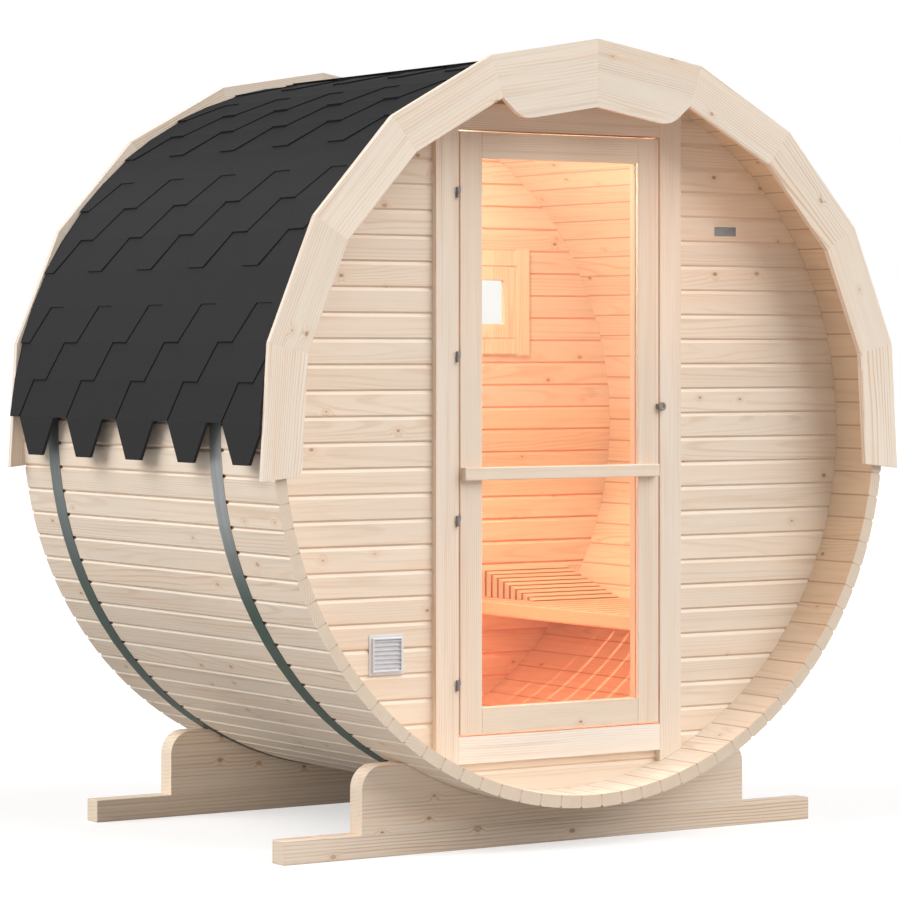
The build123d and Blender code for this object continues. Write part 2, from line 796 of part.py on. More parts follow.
# Benches: short slats between an apron along the front and a rail along the staves
slat_pitch = bench_slat_width + bench_slat_gap
slat_underside = bench_top - bench_slat_thickness
slat_start = bench_front + bench_apron_thickness
slat_end = sqrt(wall_flat_radius**2 - (axis_height - slat_underside) ** 2)
slat_length = slat_end - slat_start
slat_count = int((room_length + bench_slat_gap) / slat_pitch)
rail_underside = slat_underside - bench_rail_height
rail_end = sqrt(wall_flat_radius**2 - (axis_height - rail_underside) ** 2)

for side_name, side in (("left", -1), ("right", 1)):
    with BuildPart() as bench_slats:
        for number in range(slat_count):
            slat_y = rear_wall_back - bench_slat_width / 2 - number * slat_pitch
            slat_middle = side * (slat_start + slat_length / 2)
            with Locations((slat_middle, slat_y, bench_top - bench_slat_thickness / 2)):
                Box(slat_length, bench_slat_width, bench_slat_thickness)
    finish(bench_slats.part, f"{side_name}_bench_slats")

with BuildPart() as bench_frames:
    for side in (-1, 1):
        apron_x = side * (bench_front + bench_apron_thickness / 2)
        with Locations((apron_x, room_middle, bench_top - bench_apron_height / 2)):
            Box(bench_apron_thickness, room_length, bench_apron_height)
        batten_x = side * (slat_start + bench_batten_width / 2)
        with Locations((batten_x, room_middle, slat_underside - bench_batten_height / 2)):
            Box(bench_batten_width, room_length, bench_batten_height)
        rail_x = side * (rail_end - bench_rail_width / 2)
        with Locations((rail_x, room_middle, slat_underside - bench_rail_height / 2)):
            Box(bench_rail_width, room_length, bench_rail_height)
finish(bench_frames.part, "bench_frames")


# Headrests: upright boards across the bench, each taller than the last, on two low ties
headrest_outer_x = slat_end - fit_gap
headrest_front = rear_wall_back - headrest_length
headrest_pitch = (headrest_length + headrest_board_gap) / headrest_board_count

with BuildPart() as right_headrest:
    with BuildSketch(Plane.YZ.offset(headrest_inner_x)):
        Polygon(
            (headrest_front, bench_top),
            (rear_wall_back, bench_top),
            (rear_wall_back, bench_top + headrest_rise),
            (headrest_front, bench_top + headrest_foot),
            align=None,
        )
        for number in range(1, headrest_board_count):
            gap_y = headrest_front + number * headrest_pitch - headrest_board_gap / 2
            with Locations((gap_y, bench_top + headrest_rise / 2)):
                Rectangle(headrest_board_gap, headrest_rise, mode=Mode.SUBTRACT)
    extrude(amount=headrest_outer_x - headrest_inner_x)
    tie_middle_y = rear_wall_back - headrest_length / 2
    for tie_x in (
        headrest_inner_x + headrest_tie_inset,
        headrest_outer_x - headrest_tie_inset,
    ):
        with Locations((tie_x, tie_middle_y, bench_top + headrest_tie_height / 2)):
            Box(headrest_tie_width, headrest_length, headrest_tie_height)
finish(right_headrest.part, "right_headrest")

with BuildPart() as left_headrest:
    add(mirror(right_headrest.part, about=Plane.YZ))
finish(left_headrest.part, "left_headrest")
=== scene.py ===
"""A barrel sauna of pale spruce, dressed for a studio picture.
Metres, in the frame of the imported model: X across the front, Y from the door to the back, Z up."""
import math

import bpy
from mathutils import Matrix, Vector


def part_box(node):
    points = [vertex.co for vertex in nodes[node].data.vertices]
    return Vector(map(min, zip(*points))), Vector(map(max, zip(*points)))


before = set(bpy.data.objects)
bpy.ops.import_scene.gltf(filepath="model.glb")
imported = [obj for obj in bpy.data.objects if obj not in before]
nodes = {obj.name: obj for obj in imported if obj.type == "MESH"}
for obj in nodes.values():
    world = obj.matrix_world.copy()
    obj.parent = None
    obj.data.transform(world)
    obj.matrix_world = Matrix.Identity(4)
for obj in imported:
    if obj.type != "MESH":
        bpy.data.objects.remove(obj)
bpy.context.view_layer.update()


# Staves
# The round wall of the barrel: planed spruce boards laid along it, each tongued into the next,
# with a small V left open at every joint. Their sawn ends show round the porch.
barrel_radius = 1.0
stave_count = 93
stave_phase_from_top = 0.16
stave_thickness = 0.034
axis_height = 1.1093

pale_spruce = (0.83, 0.71, 0.585, 1.0)
late_spruce = (0.62, 0.41, 0.265, 1.0)
end_grain = (0.77, 0.66, 0.53, 1.0)
knot_brown = (0.33, 0.115, 0.030, 1.0)
knot_halo = (0.66, 0.40, 0.20, 1.0)
# Painted colours: shade in the joints' grooves, a highlight on the upper edges, and shade.
joint_shade_brown = (0.42, 0.215, 0.12, 1.0)
painted_highlight_pale = (0.93, 0.83, 0.71, 1.0)
shade_brown = (0.34, 0.17, 0.085, 1.0)


def new_node(tree, kind, sockets=None, **settings):
    """Adds a shader node, sets its options, and fills or links its inputs."""
    made = tree.nodes.new(kind)
    for name, value in settings.items():
        setattr(made, name, value)
    for name, value in (sockets or {}).items():
        if isinstance(value, bpy.types.NodeSocket):
            tree.links.new(value, made.inputs[name])
        else:
            made.inputs[name].default_value = value
    return made


def maths(tree, operation, *values, clamp=False):
    """One sum on numbers or sockets."""
    made = new_node(tree, "ShaderNodeMath", dict(enumerate(values)), operation=operation)
    made.use_clamp = clamp
    return made.outputs[0]


def times(tree, first, second):
    """A product of numbers or sockets."""
    return maths(tree, "MULTIPLY", first, second)


def plus(tree, first, second):
    """A sum of numbers or sockets."""
    return maths(tree, "ADD", first, second)


def minus(tree, first, second):
    """A difference of numbers or sockets."""
    return maths(tree, "SUBTRACT", first, second)


def about_zero(tree, value, spread):
    """A value from 0 to 1 turned into one from minus half the spread to plus half of it."""
    return times(tree, minus(tree, value, 0.5), spread)


def vector_maths(tree, operation, *values):
    """One sum on vectors."""
    made = new_node(tree, "ShaderNodeVectorMath", dict(enumerate(values)), operation=operation)
    return made.outputs["Value" if operation in ("DOT_PRODUCT", "LENGTH") else "Vector"]


def mix_colours(tree, amount, first, second, way="MIX"):
    """Lays one colour over another."""
    sockets = {0: amount, 6: first, 7: second}
    return new_node(tree, "ShaderNodeMix", sockets, data_type="RGBA", blend_type=way).outputs[2]


def ramp(tree, value, low, high, start=0.0, end=1.0):
    """A soft step between two levels of a value."""
    sockets = {"Value": value, "From Min": low, "From Max": high, "To Min": start, "To Max": end}
    return new_node(tree, "ShaderNodeMapRange", sockets, interpolation_type="SMOOTHSTEP").outputs[0]


def noise(tree, place, scale, detail=2.0):
    """Soft noise from 0 to 1."""
    sockets = {"Vector": place, "Scale": scale, "Detail": detail, "Roughness": 0.5}
    return new_node(tree, "ShaderNodeTexNoise", sockets).outputs[0]


def stretched(tree, place, x, y, z):
    """A place scaled by its own amount along each axis."""
    return vector_maths(tree, "MULTIPLY", place, (x, y, z))


def split(tree, place):
    """The three parts of a vector."""
    return new_node(tree, "ShaderNodeSeparateXYZ", {0: place}).outputs


def joined(tree, x, y, z):
    """A vector from its three parts."""
    return new_node(tree, "ShaderNodeCombineXYZ", {0: x, 1: y, 2: z}).outputs[0]


def new_group(name, takes, gives):
    """A shader node group with named sockets. Returns the group, its inputs and its outputs."""
    tree = bpy.data.node_groups.new(name, "ShaderNodeTree")
    kinds = {"number": "NodeSocketFloat", "vector": "NodeSocketVector", "colour": "NodeSocketColor"}
    for socket, kind, value in takes:
        made = tree.interface.new_socket(socket, in_out="INPUT", socket_type=kinds[kind])
        if value is not None:
            made.default_value = value
    for socket, kind in gives:
        tree.interface.new_socket(socket, in_out="OUTPUT", socket_type=kinds[kind])
    inner = tree.nodes.new("NodeGroupInput").outputs
    outer = tree.nodes.new("NodeGroupOutput").inputs
    return tree, inner, outer


def sectors_group():
    """Finds which board of a round a point is on, and where on that board it lies."""
    tree, takes, gives = new_group(
        "Boards round an axis",
        [("Place", "vector", None), ("Axis height", "number", 0.0), ("Board angle", "number", 0.1),
         ("Phase", "number", 0.0)],
        [("Sideways", "number"), ("Out", "number"), ("Lengthways", "number"), ("Board", "number"),
         ("Side axis", "vector")],
    )
    place = split(tree, takes["Place"])
    height = minus(tree, place[2], takes["Axis height"])
    turn = maths(tree, "ARCTAN2", place[0], height)
    steps = minus(tree, maths(tree, "DIVIDE", turn, takes["Board angle"]), takes["Phase"])
    board = maths(tree, "FLOOR", steps)
    middle = times(tree, plus(tree, plus(tree, board, 0.5), takes["Phase"]), takes["Board angle"])
    sine, cosine = maths(tree, "SINE", middle), maths(tree, "COSINE", middle)
    side_axis = joined(tree, cosine, 0.0, times(tree, sine, -1.0))
    out_axis = joined(tree, sine, 0.0, cosine)
    from_axis = joined(tree, place[0], 0.0, height)
    tree.links.new(vector_maths(tree, "DOT_PRODUCT", from_axis, side_axis), gives["Sideways"])
    tree.links.new(vector_maths(tree, "DOT_PRODUCT", from_axis, out_axis), gives["Out"])
    tree.links.new(place[1], gives["Lengthways"])
    tree.links.new(board, gives["Board"])
    tree.links.new(side_axis, gives["Side axis"])
    return tree


def spruce_group():
    """Planed spruce: growth rings cut lengthways, fine fibre, a tone for each board, and knots."""
    tree, takes, gives = new_group(
        "Planed spruce",
        [("Grain place", "vector", None), ("Board", "number", 0.0), ("End", "number", 0.0),
         ("Pale", "colour", pale_spruce), ("Late", "colour", late_spruce),
         ("End colour", "colour", end_grain), ("Knot colour", "colour", knot_brown),
         ("Figure", "number", 0.5), ("Knot size", "number", 0.036), ("Knot share", "number", 0.22),
         ("Joint", "number", 0.0), ("Joint colour", "colour", joint_shade_brown),
         ("Lip", "number", 0.0), ("Shade", "number", 0.0), ("Ring gap", "number", 0.0048),
         ("Ring wander", "number", 0.022)],
        [("Color", "colour"), ("Roughness", "number"), ("Height", "number")],
    )

    # Each board has its own three numbers from 0 to 1, and its own place in the wood.
    board_dice = new_node(tree, "ShaderNodeTexWhiteNoise", {"W": takes["Board"]}, noise_dimensions="1D")
    dice = new_node(tree, "ShaderNodeSeparateColor", {0: board_dice.outputs["Color"]}).outputs
    shift = joined(tree, times(tree, dice[0], 13.0), times(tree, dice[1], 7.0), times(tree, dice[2], 11.0))
    place = vector_maths(tree, "ADD", takes["Grain place"], shift)
    grain = split(tree, takes["Grain place"])

    # Knots: brown cores with a dark rim and a warm halo, on some cells of a stretched grid only.
    knot_grid = (6.5, 10.0, 0.0)
    halo_reach = 0.26
    knot_place = vector_maths(tree, "ADD", stretched(tree, takes["Grain place"], *knot_grid),
                              vector_maths(tree, "MULTIPLY", shift, (3.0, 5.0, 0.0)))
    knot = new_node(tree, "ShaderNodeTexVoronoi", {"Vector": knot_place, "Scale": 1.0},
                    voronoi_dimensions="2D")
    knot_dice = new_node(tree, "ShaderNodeSeparateColor", {0: knot.outputs["Color"]}).outputs
    kept = maths(tree, "LESS_THAN", knot_dice[0], takes["Knot share"])
    distance = knot.outputs["Distance"]
    near = times(tree, ramp(tree, distance, halo_reach, 0.0), kept)
    very_near = times(tree, near, near)
    size = times(tree, takes["Knot size"], ramp(tree, knot_dice[1], 0.0, 1.0, 0.45, 1.25))
    soundness = ramp(tree, knot_dice[2], 0.0, 1.0, 0.35, 1.0)
    inside = times(tree, ramp(tree, distance, size, times(tree, size, 0.5)), kept)
    inside = times(tree, inside, soundness)
    rim_outside = ramp(tree, distance, times(tree, size, 1.35), size)
    rim_inside = ramp(tree, distance, times(tree, size, 0.5), times(tree, size, 0.9))
    rim = times(tree, times(tree, rim_outside, rim_inside), kept)

    # Growth rings: circles about the tree's heart, which lies behind the board's face and leans
    # a little, so that the rings run out of the face as flames. They swerve round a knot.
    heart_spread_across = 0.11
    heart_depth = 0.010
    heart_depth_spread = 0.09
    lean_spread = 0.07
    swerve = 0.014
    ring_gap_spread = 0.0035
    wander = minus(tree, noise(tree, stretched(tree, place, 1.7, 8.0, 8.0), 1.0), 0.5)
    across = minus(tree, grain[1], about_zero(tree, dice[1], heart_spread_across))
    behind = plus(tree, times(tree, dice[2], heart_depth_spread), heart_depth)
    taper = times(tree, grain[0], about_zero(tree, dice[0], lean_spread))
    through = plus(tree, minus(tree, grain[2], behind), taper)
    heart = vector_maths(tree, "LENGTH", joined(tree, 0.0, across, through))
    heart = plus(tree, heart, times(tree, wander, takes["Ring wander"]))
    heart = plus(tree, heart, times(tree, very_near, swerve))
    ring_gap = plus(tree, times(tree, dice[0], ring_gap_spread), takes["Ring gap"])
    wave = maths(tree, "SINE", maths(tree, "DIVIDE", times(tree, heart, 2 * math.pi), ring_gap))
    late = ramp(tree, wave, 0.15, 1.0)
    uneven = noise(tree, stretched(tree, place, 1.7, 26.0, 26.0), 1.0, 3.0)
    late = times(tree, late, ramp(tree, uneven, 0.34, 0.62, 0.15, 1.0))
    strong = ramp(tree, dice[1], 0.2, 0.9, 0.5, 1.0)

    # The planed face: rings, fibre and streaks, with a tone for the board and pinkish clouds.
    fibre_share = 0.30
    board_tone_spread = 0.07
    cloud_tone_spread = 0.13
    pinkish = (1.0, 0.925, 0.86, 1.0)
    fibre = noise(tree, stretched(tree, place, 7.0, 300.0, 300.0), 1.0)
    streak = noise(tree, stretched(tree, place, 1.3, 75.0, 75.0), 1.0, 3.0)
    cloud = noise(tree, stretched(tree, place, 1.6, 12.0, 12.0), 1.0, 3.0)
    flame = times(tree, times(tree, late, strong), takes["Figure"])
    flame = plus(tree, flame, about_zero(tree, fibre, fibre_share))
    flame = maths(tree, "ADD", flame, ramp(tree, streak, 0.50, 0.78, 0.0, 0.30), clamp=True)
    wood = mix_colours(tree, flame, takes["Pale"], takes["Late"])
    tone = plus(tree, about_zero(tree, dice[2], board_tone_spread), 1.0)
    tone = plus(tree, tone, about_zero(tree, cloud, cloud_tone_spread))
    wood = mix_colours(tree, 1.0, wood, joined(tree, tone, tone, tone), "MULTIPLY")
    pinkness = noise(tree, stretched(tree, place, 0.9, 22.0, 22.0), 1.0)
    pink = times(tree, ramp(tree, pinkness, 0.42, 0.72), 0.55)
    wood = mix_colours(tree, pink, wood, mix_colours(tree, 1.0, wood, pinkish, "MULTIPLY"))
    wood = mix_colours(tree, times(tree, very_near, 0.30), wood, knot_halo)
    wood = mix_colours(tree, times(tree, inside, 0.72), wood, takes["Knot colour"])
    dark_rim = mix_colours(tree, 1.0, takes["Knot colour"], (0.62, 0.60, 0.60, 1.0), "MULTIPLY")
    wood = mix_colours(tree, times(tree, rim, 0.45), wood, dark_rim)

    # The sawn end, and then what the board's edges show: a painted highlight, a dark joint line that is
    # painted shade of its groove, and painted shade.
    pores = noise(tree, stretched(tree, place, 700.0, 700.0, 700.0), 1.0)
    sawn = mix_colours(tree, times(tree, late, 0.16), takes["End colour"], takes["Knot colour"])
    sawn = mix_colours(tree, times(tree, pores, 0.16), sawn, takes["Knot colour"])
    wood = mix_colours(tree, takes["End"], wood, sawn)
    wood = mix_colours(tree, takes["Lip"], wood, painted_highlight_pale)
    wood = mix_colours(tree, takes["Joint"], wood, takes["Joint colour"])
    wood = mix_colours(tree, takes["Shade"], wood, shade_brown)
    tree.links.new(wood, gives["Color"])
    tree.links.new(plus(tree, times(tree, fibre, 0.18), 0.50), gives["Roughness"])
    relief = plus(tree, times(tree, late, 0.5), times(tree, fibre, 0.5))
    relief = minus(tree, relief, times(tree, inside, 0.3))
    tree.links.new(minus(tree, relief, times(tree, takes["Joint"], 1.5)), gives["Height"])
    return tree


spruce = spruce_group()
round_boards = sectors_group()


def new_material(name):
    """An empty material. Returns it, its tree and its Principled shader."""
    material = bpy.data.materials.new(name)
    material.use_nodes = True
    tree = material.node_tree
    return material, tree, tree.nodes["Principled BSDF"]


def group_node(tree, group, sockets):
    """A node group placed in a material with its own values."""
    return new_node(tree, "ShaderNodeGroup", sockets, node_tree=group).outputs


def finish_spruce(tree, shader, grain_place, board, end, **looks):
    """Joins the spruce group to a material's shader."""
    sockets = {"Grain place": grain_place, "Board": board, "End": end}
    sockets.update({name.replace("_", " ").capitalize(): value for name, value in looks.items()})
    wood = group_node(tree, spruce, sockets)
    tree.links.new(wood["Color"], shader.inputs["Base Color"])
    tree.links.new(wood["Roughness"], shader.inputs["Roughness"])
    shader.inputs["Specular IOR Level"].default_value = 0.32
    bump = new_node(tree, "ShaderNodeBump", {"Strength": 0.6, "Distance": 0.0005, "Height": wood["Height"]})
    tree.links.new(bump.outputs[0], shader.inputs["Normal"])


def end_share(tree, normal, grain_axis):
    """1 where a face is square to an axis, as a sawn end is to the grain."""
    facing = maths(tree, "ABSOLUTE", vector_maths(tree, "DOT_PRODUCT", normal, grain_axis))
    return ramp(tree, facing, 0.75, 0.9)


def dress(material, *names):
    """Gives CAD nodes a material in place of their plain one."""
    for name in names:
        for material_slot in nodes[name].material_slots:
            material_slot.material = material


def ease_edges(width, *names):
    """Rounds the sharp edges of CAD nodes a little, as planed timber and folded metal are."""
    for name in names:
        weld = nodes[name].modifiers.new("weld", "WELD")
        weld.merge_threshold = 0.00002
        bevel = nodes[name].modifiers.new("eased_edges", "BEVEL")
        bevel.width = width
        bevel.segments = 2
        bevel.limit_method = "ANGLE"
        bevel.angle_limit = math.radians(50)
        bevel.use_clamp_overlap = True


stave_wood, tree, shader = new_material("stave_spruce")
coordinates = tree.nodes.new("ShaderNodeTexCoord").outputs
sectors = group_node(tree, round_boards, {
    "Place": coordinates["Object"], "Axis height": axis_height,
    "Board angle": 2 * math.pi / stave_count, "Phase": stave_phase_from_top,
})
depth = minus(tree, sectors["Out"], barrel_radius)
inside_face = ramp(tree, depth, -0.6 * stave_thickness, -0.9 * stave_thickness)
end_face = end_share(tree, coordinates["Normal"], (0.0, 1.0, 0.0))

# The joints get painted shade of their grooves: narrow dark lines inside, and fainter ones in the V outside.
half_width = times(tree, sectors["Out"], math.tan(math.pi / stave_count))
from_joint = minus(tree, half_width, maths(tree, "ABSOLUTE", sectors["Sideways"]))
inner_joint_shade = times(tree, inside_face, ramp(tree, from_joint, 0.0032, 0.0012))
outer_joint_shade = ramp(tree, from_joint, 0.0022, 0.0006)
joint_shade_line = maths(tree, "MAXIMUM", times(tree, inner_joint_shade, 0.6), times(tree, outer_joint_shade, 0.35))

# Beside the steel bands that bridge it, each V gets painted shade: the dark hole under the band's edge.
bands_low, bands_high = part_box("steel_bands")
band_width = 0.058
notch_reach = 0.0085
notch_full = 0.0065
notch_shade = 0.0
for band_middle in (bands_low.y + band_width / 2, bands_high.y - band_width / 2):
    from_band = maths(tree, "ABSOLUTE", minus(tree, sectors["Lengthways"], band_middle))
    beside_band = ramp(tree, from_band, band_width / 2 + notch_reach, band_width / 2 + notch_full)
    notch_shade = maths(tree, "MAXIMUM", notch_shade, beside_band)
notch_shade = times(tree, notch_shade, ramp(tree, from_joint, 0.0056, 0.0040))
notch_shade = times(tree, notch_shade, minus(tree, 1.0, inside_face))

# A painted highlight on the upper edge of each stave stands in for the light from above.
left_or_right = maths(tree, "SIGN", split(tree, coordinates["Object"])[0])
upward = times(tree, sectors["Sideways"], times(tree, left_or_right, -1.0))
painted_highlight_edge = times(tree, ramp(tree, minus(tree, half_width, upward), 0.0080, 0.0050),
                   minus(tree, 1.0, maths(tree, "MAXIMUM", inside_face, end_face)))

# In the porch the staves are painted warmer up the sides, as painted bounce light from the warm wood, and
# paler at the bottom, as painted light.
porch_back = -0.5
porch_bounce_light_spruce = (0.76, 0.585, 0.42, 1.0)
porch_lit_bottom_spruce = (0.91, 0.83, 0.72, 1.0)
height = split(tree, coordinates["Object"])[2]
in_porch = times(tree, inside_face, maths(tree, "LESS_THAN", sectors["Lengthways"], porch_back))
painted_bounce_up_sides = times(tree, in_porch, ramp(tree, height, 0.25, 0.70))
painted_light_at_bottom = times(tree, in_porch, ramp(tree, height, 0.42, 0.20))
stave_pale_with_porch_light = mix_colours(tree, painted_bounce_up_sides, pale_spruce, porch_bounce_light_spruce)
stave_pale_with_porch_light = mix_colours(tree, painted_light_at_bottom, stave_pale_with_porch_light, porch_lit_bottom_spruce)
finish_spruce(
    tree, shader, joined(tree, sectors["Lengthways"], sectors["Sideways"], depth), sectors["Board"], end_face,
    figure=0.42, shade=notch_shade, joint=joint_shade_line, lip=times(tree, painted_highlight_edge, 0.7), pale=stave_pale_with_porch_light,
)
dress(stave_wood, *[name for name in nodes if name.startswith("staves_")])


# End walls
# The same boards laid level across both ends, set back into the barrel, with the joints
# running on from one side of the door to the other.
board_pitch = 0.06775
first_board_seam = 0.0009


def rows_group():
    """Finds which board of a row a point is on, and where on that board it lies."""
    tree, takes, gives = new_group(
        "Boards in a row",
        [("Along", "number", 0.0), ("Across", "number", 0.0), ("Through", "number", 0.0),
         ("Pitch", "number", 0.1), ("First seam", "number", 0.0), ("Seed", "number", 0.0)],
        [("Grain place", "vector"), ("Board", "number"), ("Joint", "number"), ("Lip", "number")],
    )
    steps = maths(tree, "DIVIDE", minus(tree, takes["Across"], takes["First seam"]), takes["Pitch"])
    board = maths(tree, "FLOOR", steps)
    middle = plus(tree, times(tree, plus(tree, board, 0.5), takes["Pitch"]), takes["First seam"])
    from_middle = minus(tree, takes["Across"], middle)
    tree.links.new(joined(tree, takes["Along"], from_middle, takes["Through"]), gives["Grain place"])
    tree.links.new(plus(tree, board, takes["Seed"]), gives["Board"])
    half = times(tree, takes["Pitch"], 0.5)
    above_joint = plus(tree, half, from_middle)
    below_joint = minus(tree, half, from_middle)
    # Painted shade along each board's lower edge, in the groove's upper flank, and a painted highlight along
    # its upper edge, on the flank that faces up.
    tree.links.new(ramp(tree, above_joint, 0.0062, 0.0040), gives["Joint"])
    tree.links.new(ramp(tree, below_joint, 0.0100, 0.0070), gives["Lip"])
    return tree


board_rows = rows_group()


def row_spruce(name, along, across, pitch=1.0, first_seam=0.0, seed=0.0, through_from=0.0, joint=0.0,
               lip=0.0, side_shade=0.0, **looks):
    """Spruce for straight boards side by side. A pitch wider than the piece makes it one board.
    The seed gives each piece boards of its own."""
    material, tree, shader = new_material(name)
    coordinates = tree.nodes.new("ShaderNodeTexCoord").outputs
    place = dict(zip("XYZ", split(tree, coordinates["Object"])))
    through = ({"X", "Y", "Z"} - {along, across}).pop()
    row = group_node(tree, board_rows, {
        "Along": place[along], "Across": place[across],
        "Through": minus(tree, place[through], through_from),
        "Pitch": pitch, "First seam": first_seam, "Seed": seed,
    })
    along_axis = tuple(1.0 if axis == along else 0.0 for axis in "XYZ")
    across_axis = tuple(1.0 if axis == across else 0.0 for axis in "XYZ")
    end = end_share(tree, coordinates["Normal"], along_axis)
    # Painted shade on the faces square to the across axis, the sides of the boards.
    side = end_share(tree, coordinates["Normal"], across_axis)
    finish_spruce(
        tree, shader, row["Grain place"], row["Board"], end, joint=times(tree, row["Joint"], joint),
        lip=times(tree, row["Lip"], lip), shade=times(tree, side, side_shade), **looks,
    )
    return material


front_wall_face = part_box("front_wall_left")[0].y
rear_wall_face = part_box("rear_wall_left")[1].y
# Both walls get painted shade in each joint and a painted highlight on the flank below it; the rear wall's
# joint shade is painted orange-red, as the cabin lamps light it.
front_boards = row_spruce(
    "front_wall_spruce", "X", "Z", board_pitch, first_board_seam, seed=200.0, through_from=front_wall_face,
    joint=0.26, joint_colour=(0.50, 0.27, 0.14, 1.0), lip=0.55, figure=0.34,
)
rear_boards = row_spruce(
    "rear_wall_spruce", "X", "Z", board_pitch, first_board_seam, seed=300.0, through_from=rear_wall_face,
    joint=0.75, joint_colour=(0.80, 0.36, 0.16, 1.0), lip=0.3, figure=0.40,
)
dress(front_boards, *[name for name in nodes if name.startswith("front_wall_")])
dress(rear_boards, *[name for name in nodes if name.startswith("rear_wall_")])


# Door frame
# Two posts cut to the round, with a head and a threshold between them, glued and screwed
# to the wall boards so that the frame stands a little proud of them.
door_middle = sum(corner.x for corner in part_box("door_head")) / 2
frame_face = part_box("door_posts")[0].y
ease_edges(0.0016, "door_posts", "door_head", "door_threshold")
post_wood = row_spruce(
    "door_post_spruce", "Z", "X", pitch=2.0, first_seam=door_middle, seed=400.0, through_from=frame_face,
    figure=0.55, knot_share=0.08, pale=(0.85, 0.74, 0.625, 1.0),
)
# The head gets painted shade on its upper face and underside.
head_wood = row_spruce(
    "door_head_spruce", "X", "Z", seed=410.0, through_from=frame_face, figure=0.5, side_shade=0.9,
)
# The threshold is painted paler, as painted light on the bottom of the porch.
threshold_wood = row_spruce(
    "door_threshold_spruce", "X", "Z", seed=415.0, through_from=frame_face, figure=0.5,
    pale=(0.93, 0.86, 0.77, 1.0),
)
dress(post_wood, "door_posts")
dress(head_wood, "door_head")
dress(threshold_wood, "door_threshold")


# Door leaf
# Two stiles and two rails of spruce, grooved for one tall pane, with a flat pull bar across.
# The pane is clear and lets the lamp light of the cabin out.
stile_wood = row_spruce(
    "door_stile_spruce", "Z", "X", pitch=2.0, first_seam=door_middle, seed=420.0, through_from=frame_face,
    figure=0.6, knot_share=0.06, pale=(0.81, 0.695, 0.58, 1.0),
)
rail_wood = row_spruce("door_rail_spruce", "X", "Z", seed=430.0, through_from=frame_face, figure=0.55)
pull_bar_wood = row_spruce("pull_bar_spruce", "X", "Z", seed=440.0, through_from=frame_face, figure=0.35)
dress(stile_wood, "door_stiles")
dress(rail_wood, "door_rails")
dress(pull_bar_wood, "door_pull_bar")
ease_edges(0.0016, "door_stiles", "door_rails")

glass_shadow = 0.06
glass, tree, shader = new_material("door_pane")
shader.inputs["Base Color"].default_value = (0.97, 0.985, 0.975, 1.0)
shader.inputs["Transmission Weight"].default_value = 1.0
shader.inputs["IOR"].default_value = 1.45
shader.inputs["Roughness"].default_value = 0.0
shadow_ray = tree.nodes.new("ShaderNodeLightPath").outputs["Is Shadow Ray"]
tree.links.new(ramp(tree, shadow_ray, 0.0, 1.0, 1.0, glass_shadow), shader.inputs["Alpha"])
dress(glass, "door_glass", "window_glass")


# Hinges, catch, bands, vent and plate
# Plain steel, zinc and plastic fittings. The bands are dull zinc, lighter toward the top and darker and
# greener toward the bottom, and the rear band is painted darker as painted shade under the shingle tabs.
def metal(name, colour, roughness, metallic=1.0, brushed=(60.0, 60.0, 60.0), darkest=0.82):
    """A plain fitting: one colour, a little cloudy or brushed along one way."""
    material, tree, shader = new_material(name)
    place = tree.nodes.new("ShaderNodeTexCoord").outputs["Object"]
    cloud = noise(tree, stretched(tree, place, *brushed), 1.0, 3.0)
    darker = tuple(darkest * part for part in colour[:3]) + (1.0,)
    cloudy = mix_colours(tree, ramp(tree, cloud, 0.3, 0.7), colour, darker)
    tree.links.new(cloudy, shader.inputs["Base Color"])
    shader.inputs["Metallic"].default_value = metallic
    tree.links.new(ramp(tree, cloud, 0.2, 0.8, roughness * 0.85, roughness * 1.2), shader.inputs["Roughness"])
    return material


hinge_steel = metal("hinge_steel", (0.28, 0.27, 0.27, 1.0), roughness=0.60)
catch_steel = metal("catch_steel", (0.36, 0.32, 0.27, 1.0), roughness=0.30)
vent_plastic = metal("vent_plastic", (0.74, 0.75, 0.78, 1.0), roughness=0.35, metallic=0.1, darkest=0.96)
plate_steel = metal("plate_steel", (0.30, 0.29, 0.285, 1.0), roughness=0.30, brushed=(25.0, 25.0, 900.0))
dress(hinge_steel, "post_hinges", "leaf_hinges")
dress(catch_steel, "door_catch")
dress(vent_plastic, "vent_grille")
dress(plate_steel, "blank_metal_plate")
ease_edges(0.0006, "vent_grille", "blank_metal_plate", "door_catch")

clean_zinc = (0.46, 0.48, 0.49, 1.0)
green_zinc = (0.065, 0.12, 0.095, 1.0)
rear_band_shade_zinc = (0.06, 0.10, 0.085, 1.0)
dull_grey = (0.15, 0.16, 0.16, 1.0)
band_zinc, tree, shader = new_material("band_zinc")
place = tree.nodes.new("ShaderNodeTexCoord").outputs["Object"]
height = split(tree, place)[2]
cloud = noise(tree, stretched(tree, place, 6.0, 40.0, 6.0), 1.0, 3.0)
zinc = mix_colours(tree, ramp(tree, height, 0.95, 0.62), clean_zinc, green_zinc)
# Painted shade: the rear band is darker all over.
rear_band_shade = times(tree, maths(tree, "GREATER_THAN", split(tree, place)[1], 0.0), 0.6)
zinc = mix_colours(tree, rear_band_shade, zinc, rear_band_shade_zinc)
zinc = mix_colours(tree, ramp(tree, cloud, 0.25, 0.8, 0.0, 0.35), zinc, dull_grey)
tree.links.new(zinc, shader.inputs["Base Color"])
shader.inputs["Metallic"].default_value = 0.55
tree.links.new(ramp(tree, cloud, 0.2, 0.8, 0.30, 0.42), shader.inputs["Roughness"])
dress(band_zinc, "steel_bands")


